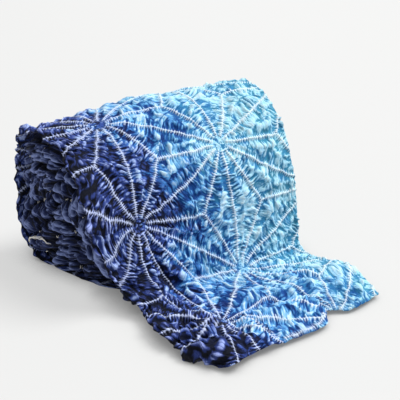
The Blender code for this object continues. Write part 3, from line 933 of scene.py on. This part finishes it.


# Cotton yukata cloth, plain woven, stitched, dipped in indigo-like dye and left crinkled: a matte
# face, far paler on the crests of its wrinkles and dark between them, partly where the dye pooled and
# partly painted highlight on the crests and painted shade in the valleys. Each shade goes from the navy
# selvedge to the light blue one.
crinkledCotton = {
    "finish": {"Roughness": 0.7, "Specular IOR Level": 0.15, "Sheen Weight": 0.05, "Sheen Roughness": 0.4},
    # the valley shades hold painted shade as well as pooled dye, the crest shades painted highlight as well
    # as paler dye
    "valley": ((0.0, "#040818"), (0.22, "#07102e"), (0.42, "#092764"), (0.6, "#124a92"), (0.8, "#3585b8"),
               (1.0, "#4292b2")),
    "dye": ((0.0, "#2c3b79"), (0.22, "#344d9d"), (0.38, "#376ab9"), (0.5, "#438ad2"), (0.64, "#69b0e4"),
            (0.8, "#abe1fc"), (1.0, "#ade3f6")),
    "crest": ((0.0, "#a0b0ee"), (0.26, "#aec7f8"), (0.45, "#c0e2fd"), (0.7, "#c8e7f8"), (1.0, "#cdebf4")),
    "lineOnNavy": "#c6d1f6",
    "lineOnLight": "#e6f5fb",
    # width, length, shade, crease and height of the facets
    "facets": ((13.0, 30.0, 1.15, 1.0, 2.4), (4.2, 13.0, 0.5, 0.4, 0.7)),
    # size in millimetres, detail, roughness and distortion of the blots of dye, of the patches that
    # took it less, of the frayed edges of the stitched lines, and of how the facets lean
    "blots": (14.286, 5.0, 0.62, 0.6),
    "patches": (8.333, 3.0, 0.5, 1.2),
    "frays": (3.0303, 1.0, 0.5, 0.0),
    "lean": (31.25, 0.0, 0.5, 0.0),
    "blotting": 0.5,        # how much the blots, and each facet, shift the tone of the dye
    "facetTone": 0.12,
    "patching": 1.2,        # how much the patches lift or lower the shade
    "creaseWidth": 0.16,    # how wide the dark creases between facets are, as a share of a facet
    "rounding": (0.2, 0.4), # how wide and how high a facet's edge is rounded
    "pleatShade": (1.1, -0.5),      # how much the shade rises over a pleat, and from where
    "pleatFrom": ((1.5, 7.0, 1.0, 0.0), (5.0, 12.0)),   # where they shade, off a line and off a centre
    "valleyToDye": (-1.0, 0.1),     # from and to which lift one shade turns to the next
    "dyeToCrest": (-0.05, 1.1),
    "lineHeight": 0.8,      # of a stitched line and of the weave, in the bump
    "weaveHeight": 0.12,
    "bump": (2.381, 0.75, 1.1),     # size of the finest crumples, strength and depth, in millimetres
    "threadPitch": 1.1,     # the real threads stand 0.45 mm apart, too fine to show
}


def blotches(addNode, place, size, detail, roughness, distortion):
    # soft noise about zero
    settings = {"Scale": 1 / (size * mm), "Detail": detail, "Roughness": roughness, "Distortion": distortion}
    return addNode("Math", subtract, addNode("TexNoise", settings, place), 0.5)


def crumpledFacets(addNode, run, gap, width, length):
    # facets of crumpled cloth, longer away from the stitched line than along it, on a warped grid: a
    # random shade for each, the distance to its edge, and its own tilt
    place = addNode("CombineXYZ", {}, run, gap)
    place = addNode("VectorMath", divide, place, (width, length, 1.0))
    warp = addNode("TexNoise", {"Scale": 0.8, "Detail": 2.0}, place).node.outputs["Color"]
    place = addNode("VectorMath", multiplyAdd, warp, (0.9, 0.9, 0.0), place)
    flat = {"voronoi_dimensions": "2D", "Scale": 1.0}
    cells = addNode("TexVoronoi", flat, place).node.outputs
    edge = addNode("TexVoronoi", {**flat, "feature": "DISTANCE_TO_EDGE"}, place)
    shade = addNode("Math", subtract, addNode("SeparateXYZ", {}, cells["Color"]), 0.5)
    off = addNode("VectorMath", subtract, place, cells["Position"])
    tilt = addNode("VectorMath", subtract, cells["Color"], (0.5, 0.5, 0.5))
    return shade, edge, addNode("VectorMath", {"operation": "DOT_PRODUCT"}, off, tilt)


def clothBump(addNode, shader, place, height, crumple, strength, depth):
    # the given height, the plain weave and the finest crumples, as one bump
    turns = 2 * math.pi / (crinkledCotton["threadPitch"] * mm)
    waves = addNode("VectorMath", multiply, place, (turns, turns, turns))
    waves = addNode("VectorMath", {"operation": "SINE"}, waves)
    weave = addNode("Math", multiply, *addNode("SeparateXYZ", {}, waves).node.outputs[:2])
    crumples = {"Scale": 1 / (crumple * mm), "Detail": 3.0, "Roughness": 0.55}
    woven = addNode("Math", multiplyAdd, weave, crinkledCotton["weaveHeight"],
                    addNode("TexNoise", crumples, place))
    height = addNode("Math", add, height, woven)
    bump = addNode("Bump", {"Strength": strength, "Distance": depth * mm, "Height": height})
    feed(shader.inputs["Normal"], bump)


# Undyed cotton along a stitched line, where the thread kept the dye out: white, beaded and frayed.
whiteLine = {
    "frayed": (5.0, 2.5),       # how ragged the ticks are, and the core
    "bead": (0.9, 0.6),         # how much wider the core is at a bead, and its least width
    "softness": 0.6,
    "between": (0.35, 0.65),    # how much more of it shows at a bead, and how much between
    "tick": (0.4, 0.8),         # from where to where in a pleat a tick comes up
    "tickReach": (0.8, 4.2, 0.8, 0.0),      # full to here, none from there, and how much it is at both
    "calmTick": (0.8, 0.2),     # the share of the ticks that only loose cloth has, and the rest
    "centre": (7.0, 15.0, 0.0, 0.95),       # none to here round a centre, full from there, and how much
}


def stitchedLine(addNode, run, gap, centre, loose, frays):
    # how much of the white line shows: a core of beads, and the ticks that cross it at the pleats
    turns = addNode("Math", multiply, run, 2 * math.pi / relief["pleat"][0])
    wave = addNode("Math", {"operation": "COSINE"}, turns)
    tick = addNode("Math", multiplyAdd, wave, -0.5, 0.5)
    ragged, coreGap = (addNode("Math", multiplyAdd, frays, most, gap) for most in whiteLine["frayed"])
    beyond = addNode("Math", subtract, coreGap, addNode("Math", multiplyAdd, tick, *whiteLine["bead"]))
    soft = whiteLine["softness"]
    core = addNode("MapRange", smooth, beyond, -soft, soft, 1.0, 0.0)
    core = addNode("Math", multiply, core, addNode("Math", multiplyAdd, tick, *whiteLine["between"]))
    ticks = addNode("MapRange", smooth, ragged, *whiteLine["tickReach"])
    ticks = addNode("Math", multiply, ticks, addNode("MapRange", smooth, tick, *whiteLine["tick"]))
    ticks = addNode("Math", multiply, ticks, addNode("Math", multiplyAdd, loose, *whiteLine["calmTick"]))
    line = addNode("Math", {"operation": "MAXIMUM"}, core, ticks)
    kept = addNode("MapRange", smooth, centre, *whiteLine["centre"])
    return addNode("Math", multiply, line, kept), tick


def cottonMaterial(name):
    material, shader, addNode = newMaterial(name, crinkledCotton["finish"])
    place, stitch = (addNode("Attribute", {"attribute_name": item}).node.outputs["Vector"]
                     for item in ("clothPlace", "stitch"))
    dyed, lifted, loose = (addNode("Attribute", {"attribute_name": item}).node.outputs["Fac"]
                           for item in ("dye", "crest", "loose"))
    blots, patches, frays, lean = (blotches(addNode, place, *crinkledCotton[item])
                                   for item in ("blots", "patches", "frays", "lean"))
    signed, run, centre = addNode("SeparateXYZ", {}, stitch).node.outputs
    gap = addNode("Math", {"operation": "ABSOLUTE"}, signed)
    leaning = addNode("Math", multiplyAdd, lean, signed, run)
    tone = addNode("Math", multiplyAdd, blots, crinkledCotton["blotting"], dyed)
    edgeWidth, edgeHeight = crinkledCotton["rounding"]
    bumpy = 0.0
    for width, length, shade, crease, height in crinkledCotton["facets"]:
        random, edge, slope = crumpledFacets(addNode, leaning, signed, width, length)
        # each facet lightened or darkened at random: painted light and shade of the crumpled facets, and a
        # little of the dye's tone
        facet = addNode("Math", multiply, random, loose)
        lifted = addNode("Math", multiplyAdd, facet, shade, lifted)
        # painted shade in the creases between the facets
        hollow = addNode("MapRange", smooth, edge, 0.0, crinkledCotton["creaseWidth"], crease, 0.0)
        lifted = addNode("Math", subtract, lifted, hollow)
        tone = addNode("Math", multiplyAdd, facet, crinkledCotton["facetTone"] * shade, tone)
        bumpy = addNode("Math", multiplyAdd, slope, height, bumpy)
        raised = addNode("MapRange", smooth, edge, 0.0, edgeWidth)
        bumpy = addNode("Math", multiplyAdd, raised, edgeHeight * height, bumpy)
    lifted = addNode("Math", multiplyAdd, patches, crinkledCotton["patching"], lifted)
    line, tick = stitchedLine(addNode, run, gap, centre, loose, frays)
    # paler on the pleats' crests and darker at their feet near the lines, partly resisted dye and partly
    # painted highlight and painted shade
    nearLine = (addNode("MapRange", smooth, away, *reach)
                for away, reach in zip((gap, centre), crinkledCotton["pleatFrom"]))
    pleats = addNode("Math", multiplyAdd, tick, *crinkledCotton["pleatShade"])
    lifted = addNode("Math", multiplyAdd, addNode("Math", multiply, *nearLine), pleats, lifted)
    shades = {item: addNode("ValToRGB", {}, tone) for item in ("valley", "dye", "crest")}
    for item, output in shades.items():
        setStops(output.node.color_ramp, crinkledCotton[item])
    # painted shade where the lift is low and painted highlight where it is high, over the dye's own shade
    lift = addNode("MapRange", smooth, lifted, *crinkledCotton["valleyToDye"])
    colour = addNode("Mix", colours, lift, shades["valley"], shades["dye"])
    lift = addNode("MapRange", smooth, lifted, *crinkledCotton["dyeToCrest"])
    colour = addNode("Mix", colours, lift, colour, shades["crest"])
    lineColours = (hexColour(crinkledCotton[item]) for item in ("lineOnNavy", "lineOnLight"))
    colour = addNode("Mix", colours, line, colour, addNode("Mix", colours, dyed, *lineColours))
    feed(shader.inputs["Base Color"], colour)
    bumpy = addNode("Math", multiplyAdd, line, crinkledCotton["lineHeight"], bumpy)
    clothBump(addNode, shader, place, bumpy, *crinkledCotton["bump"])
    return material


# The same cotton where it is dyed one shade, dull and creased: slate navy at one selvedge, light aqua
# at the other, each running from painted shade in the gaps and creases to painted highlight on the
# crests, and both painted darker for the shade of the folds inside.
selvedgeCotton = {
    "finish": {"Roughness": 0.7, "Specular IOR Level": 0.2, "Sheen Weight": 0.05},
    "stops": (0.0, 0.4, 0.66, 1.0),
    "navy": ("#02040a", "#0d1329", "#263260", "#8797cc"),
    "aqua": ("#1f5a74", "#4a92ad", "#7fbdd2", "#c3e6ee"),
    "inner": ("#10172f", "#1d4658"),
    "innerFrom": (-0.12, 0.1),      # from and to where the turns inside go over from one to the other
    # width, length, shade, crease and height of the facets
    "facets": ((9.0, 21.0, 1.6, 0.9, 2.0), (4.0, 10.0, 1.0, 0.6, 1.0)),
    "creaseWidth": 0.12,
    "lift": (-1.6, 2.6),    # the lift that has the darkest shade, and the palest
    "bump": (2.6316, 0.7, 1.4),
}


def plainCotton(name, shades):
    material, shader, addNode = newMaterial(name, selvedgeCotton["finish"])
    place = addNode("Attribute", {"attribute_name": "clothPlace"}).node.outputs["Vector"]
    lifted = addNode("Attribute", {"attribute_name": "crest"}).node.outputs["Fac"]
    parts = addNode("SeparateXYZ", {}, addNode("VectorMath", divide, place, (mm, mm, mm)))
    across, run = parts.node.outputs[:2]
    bumpy = 0.0
    for width, length, shade, crease, height in selvedgeCotton["facets"]:
        random, edge, slope = crumpledFacets(addNode, across, run, width, length)
        lifted = addNode("Math", multiplyAdd, random, shade, lifted)
        # painted highlight along the facets' edges
        ridge = addNode("MapRange", smooth, edge, 0.0, selvedgeCotton["creaseWidth"], crease, 0.0)
        lifted = addNode("Math", add, lifted, ridge)
        bumpy = addNode("Math", multiplyAdd, slope, height, bumpy)
    # painted shade where the lift is low and painted highlight where it is high
    colour = addNode("ValToRGB", {}, addNode("MapRange", {}, lifted, *selvedgeCotton["lift"]))
    setStops(colour.node.color_ramp, list(zip(selvedgeCotton["stops"], shades)))
    feed(shader.inputs["Base Color"], colour)
    clothBump(addNode, shader, place, bumpy, *selvedgeCotton["bump"])
    return material


def innerCotton(name, left, right):
    # the turns inside, navy on the left and aqua on the right
    material, shader, addNode = newMaterial(name, {"Roughness": 0.8, "Specular IOR Level": 0.1})
    place = addNode("TexCoord", {}).node.outputs["Object"]
    across = addNode("MapRange", smooth, addNode("SeparateXYZ", {}, place), *selvedgeCotton["innerFrom"])
    colour = addNode("Mix", colours, across, hexColour(left), hexColour(right))
    feed(shader.inputs["Base Color"], colour)
    return material


# Undyed cotton thread: ecru, dull, a little fuzzy.
undyedThread = {"Base Color": hexColour("#fbf7ee"), "Roughness": 0.8, "Sheen Weight": 0.3}

gradedCotton = cottonMaterial("crinkledShiboriCotton")
for piece in pieces.values():
    piece.data.materials.append(gradedCotton)
selvedges["selvedgesLeft"].data.materials.append(plainCotton("navySelvedgeCotton", selvedgeCotton["navy"]))
selvedges["selvedgesRight"].data.materials.append(plainCotton("aquaSelvedgeCotton", selvedgeCotton["aqua"]))
body.data.materials.append(innerCotton("shadedInnerCotton", *selvedgeCotton["inner"]))
threads.data.materials.append(newMaterial("undyedStitchThread", undyedThread)[0])
print("cotton and thread materials made")

# Camera: the lens and the stand it has over the table.
camera = {
    "lens": 72.0,
    "sensor": 36.0,
    "place": (-0.467, -0.756, 0.515),
    "heading": 32.0,        # degrees from +Y towards +X
    "down": 25.0,
}
cameraData = bpy.data.cameras.new("camera")
cameraData.lens = camera["lens"]
cameraData.sensor_width = camera["sensor"]
cameraObject = newObject("camera", cameraData)
cameraObject.location = camera["place"]
cameraObject.rotation_euler = (math.radians(90 - camera["down"]), 0.0, -math.radians(camera["heading"]))
bpy.context.scene.camera = cameraObject

# A broad sun from the upper right, over a bright studio.
studio = {
    "towards": (0.589, -0.191, 1.1),    # where the sun stands, from the bolt
    "strength": 3.7,
    "spread": 32.0,
    "sky": "#f4f6fa",
    "skyStrength": 0.45,
}
sunData = bpy.data.lights.new("sun", "SUN")
sunData.energy = studio["strength"]
sunData.angle = math.radians(studio["spread"])
sunObject = newObject("sun", sunData)
sunObject.location = studio["towards"]
sunObject.rotation_euler = sunObject.location.to_track_quat("Z", "Y").to_euler()
world = bpy.data.worlds.new("studio")
bpy.context.scene.world = world
world.use_nodes = True
background = world.node_tree.nodes["Background"]
background.inputs["Color"].default_value = hexColour(studio["sky"])
background.inputs["Strength"].default_value = studio["skyStrength"]
bpy.context.scene.view_settings.view_transform = "Standard"

# A pale sweep that glows a little, painted light that keeps shadows on it light, and more so to the
# right; the glow dims where the cloth stands close, a painted contact shadow.
sweep = {
    "size": 8.0,
    "place": (0.0, 1.0, -0.0002),       # just below the cloth that rests on it
    "finish": {"Base Color": hexColour("#7c7c7b"), "Roughness": 0.8, "Specular IOR Level": 0.1,
               "Emission Color": hexColour("#fffffe")},
    "right": (0.85, -0.35, 0.0),        # the way in which it gets lighter
    "glow": (-1.4, 0.9, 0.535, 0.62),   # from and to how far right, and the glow at both
    "nearby": {"Distance": 0.05, "samples": 8},
    # the dimmed glow is a painted contact shadow
    "dim": (0.2, 0.95, 0.25, 1.0),      # how open the place is, and how much glow is left there
}
bpy.ops.object.select_all(action="DESELECT")
bpy.ops.mesh.primitive_plane_add(size=sweep["size"], location=sweep["place"])
floor = bpy.context.object
floor.name = "floor"
floorMaterial, shader, addNode = newMaterial("glowingPaleTable", sweep["finish"])
place = addNode("TexCoord", {}).node.outputs["Object"]
right = addNode("VectorMath", {"operation": "DOT_PRODUCT"}, place, sweep["right"])
# painted contact shadow: the glow dims where the cloth stands close
nearby = addNode("AmbientOcclusion", sweep["nearby"]).node.outputs["AO"]
glow = addNode("MapRange", smooth, right, *sweep["glow"])
glow = addNode("Math", multiply, glow, addNode("MapRange", smooth, nearby, *sweep["dim"]))
feed(shader.inputs["Emission Strength"], glow)
floor.data.materials.append(floorMaterial)
